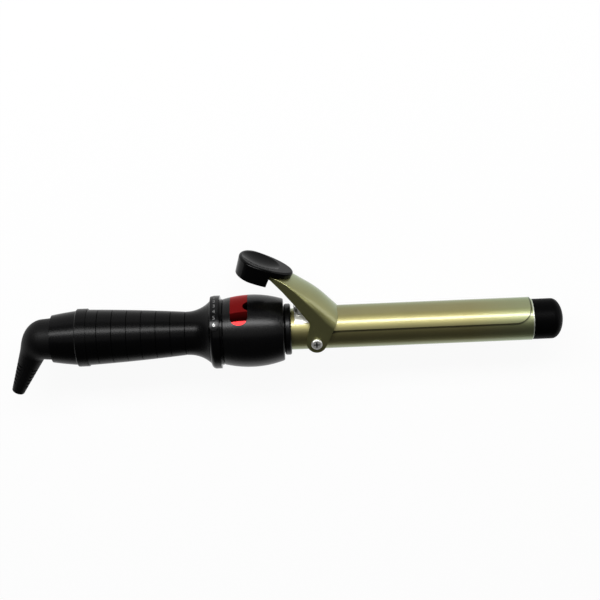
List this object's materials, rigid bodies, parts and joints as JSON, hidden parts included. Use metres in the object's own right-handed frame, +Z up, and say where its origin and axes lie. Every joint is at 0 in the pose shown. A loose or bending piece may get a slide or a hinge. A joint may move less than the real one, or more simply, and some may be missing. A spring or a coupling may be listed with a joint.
{
  "type": "curling iron",
  "caption": "Curling iron with a round barrel, spring clip with thumb lever, turning dial ring and swivel cord boot.",
  "frame": {"origin": "middle of the bounding box, at its lowest plane, with the iron lying on its side", "axes": "+X along the barrel to the tip, +Y to the thumb lever, +Z up"},
  "size_m": [0.337, 0.0866, 0.0442],
  "materials": {
    "champagne_coating": "satin metallic coating",
    "black_plastic": "fine matte moulding",
    "cap_plastic": "satin moulding",
    "band_gloss": "gloss moulding",
    "boot_rubber": "soft matte moulding",
    "red_window": "clear red moulding",
    "bright_steel": "polished",
    "plain_steel": "plain",
    "brass": "turned",
    "ceramic": "matte white",
    "bare_aluminium": "extruded",
    "grey_plastic": "plain moulding",
    "board_green": "lacquered",
    "led_red": "clear",
    "lead_sleeve": "woven sleeve"
  },
  "bodies": {
    "iron": {"barrel_tube": "champagne_coating", "tip_cap": "cap_plastic", "heater_plate": "ceramic", "heat_spreaders": "bare_aluminium", "temperature_sensor": "bare_aluminium", "thermal_fuse": "bare_aluminium", "heater_leads": "lead_sleeve", "barrel_insulator": "ceramic", "front_collar": "black_plastic", "front_housing": "black_plastic", "indicator_lens": "red_window", "inner_chassis": "grey_plastic", "control_board": "board_green", "board_screws": "plain_steel", "indicator_led": "led_red", "track_board": "board_green", "grip": "black_plastic", "rear_band": "band_gloss", "rear_sleeve": "black_plastic", "brush_block": "grey_plastic", "contact_brushes": "brass", "supply_leads": "lead_sleeve", "pivot_bosses": "brass", "pivot_screws": "bright_steel", "clip_spring": "bright_steel", "spring_rivet": "bright_steel"},
    "clip": {"clip_spoon": "champagne_coating", "clip_lever": "champagne_coating", "thumb_rest": "black_plastic", "thumb_rest_screw": "plain_steel"},
    "dial": {"dial_ring": "black_plastic", "dial_scale": "band_gloss", "dial_peg": "plain_steel", "dial_wiper": "brass"},
    "boot": {"cord_boot": "boot_rubber", "swivel_stem": "grey_plastic", "swivel_clip": "plain_steel", "slip_rings": "brass"}
  },
  "joints": [
    {"name": "clip_hinge", "type": "hinge", "parent": "iron", "child": "clip", "pos_m": [0.01948, -0.01055, 0.0221], "axis": [0, 0, 1], "range_deg": [0, 18], "stiffness_Nm_per_rad": 0.6, "springref_deg": -11.46, "deforming": ["clip_spring"]},
    {"name": "dial_turn", "type": "hinge", "parent": "iron", "child": "dial", "pos_m": [-0.04027, -0.00715, 0.0221], "axis": [-1, 0, 0], "range_deg": [-12, 60]},
    {"name": "boot_swivel", "type": "hinge", "parent": "iron", "child": "boot", "pos_m": [-0.14532, -0.00715, 0.0221], "axis": [-1, 0, 0], "continuous": true}
  ]
}
